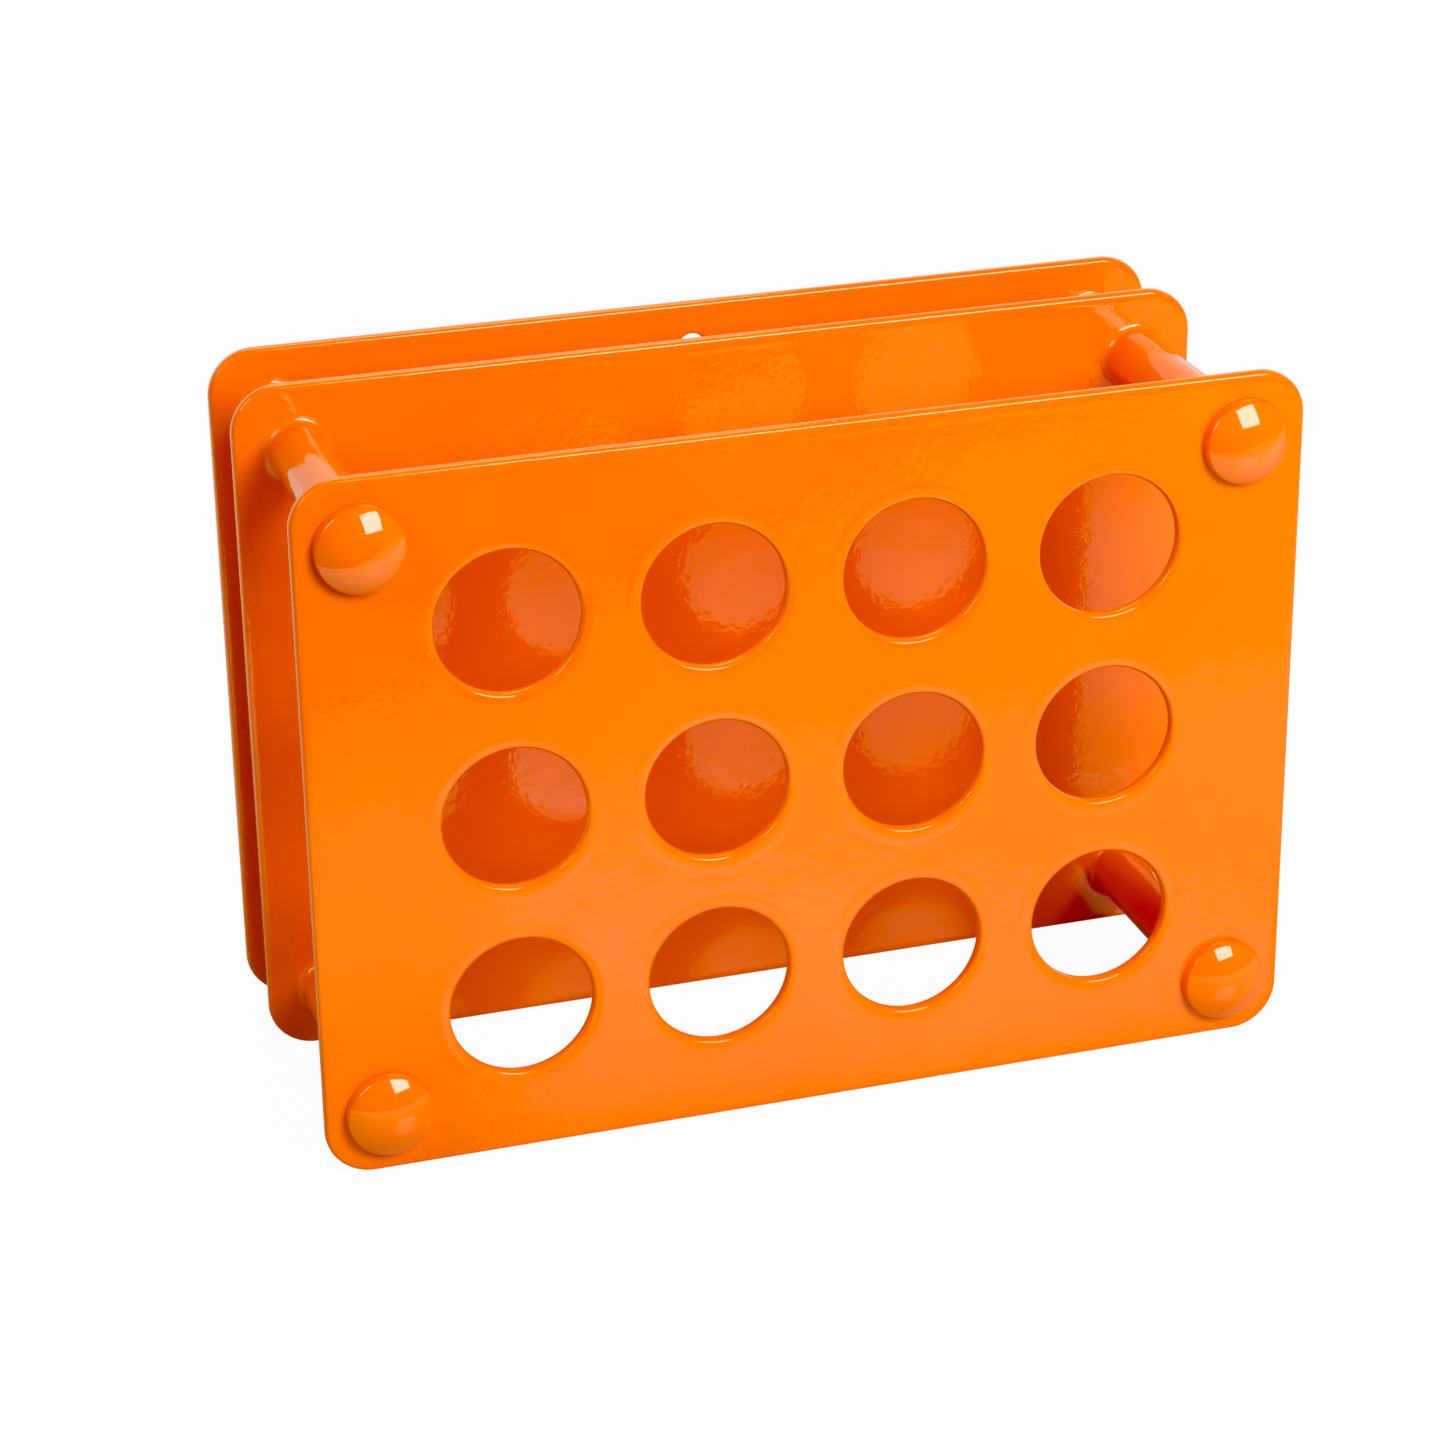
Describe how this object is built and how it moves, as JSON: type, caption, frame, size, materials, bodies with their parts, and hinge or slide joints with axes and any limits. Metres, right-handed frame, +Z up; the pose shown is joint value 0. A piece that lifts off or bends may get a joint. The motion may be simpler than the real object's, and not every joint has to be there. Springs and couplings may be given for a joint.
{
  "type": "test tube holder",
  "caption": "Upright test tube holder: a perforated front plate, a solid stop plate and a back plate, joined by round spacers and dome-headed bolts, all in glossy orange paint.",
  "frame": {"origin": "on the surface that the holder stands on, midway across its width and its depth", "axes": "+X to the viewer's right along the width, +Y from the perforated front plate to the back plate, +Z up"},
  "size_m": [0.21, 0.0992, 0.15],
  "materials": {
    "plate_paint": "glossy sprayed orange enamel with slight orange peel and rounded, paint-thickened edges",
    "spacer_paint": "glossy sprayed orange enamel, pooled into a small hollow fillet at each plate",
    "bolt_paint": "glossy sprayed orange enamel, very smooth on the domed heads",
    "nut_paint": "glossy sprayed orange enamel, softening the corners of nuts and washers"
  },
  "bodies": {
    "root": {"front_plate": "plate_paint", "middle_plate": "plate_paint", "back_plate": "plate_paint", "long_spacer_top_left": "spacer_paint", "long_spacer_top_right": "spacer_paint", "long_spacer_bottom_left": "spacer_paint", "long_spacer_bottom_right": "spacer_paint", "short_spacer_top_left": "spacer_paint", "short_spacer_top_right": "spacer_paint", "short_spacer_bottom_left": "spacer_paint", "short_spacer_bottom_right": "spacer_paint", "dome_bolt_top_left": "bolt_paint", "dome_bolt_top_right": "bolt_paint", "dome_bolt_bottom_left": "bolt_paint", "dome_bolt_bottom_right": "bolt_paint", "washer_top_left": "nut_paint", "washer_top_right": "nut_paint", "washer_bottom_left": "nut_paint", "washer_bottom_right": "nut_paint", "nut_top_left": "nut_paint", "nut_top_right": "nut_paint", "nut_bottom_left": "nut_paint", "nut_bottom_right": "nut_paint"}
  },
  "joints": []
}
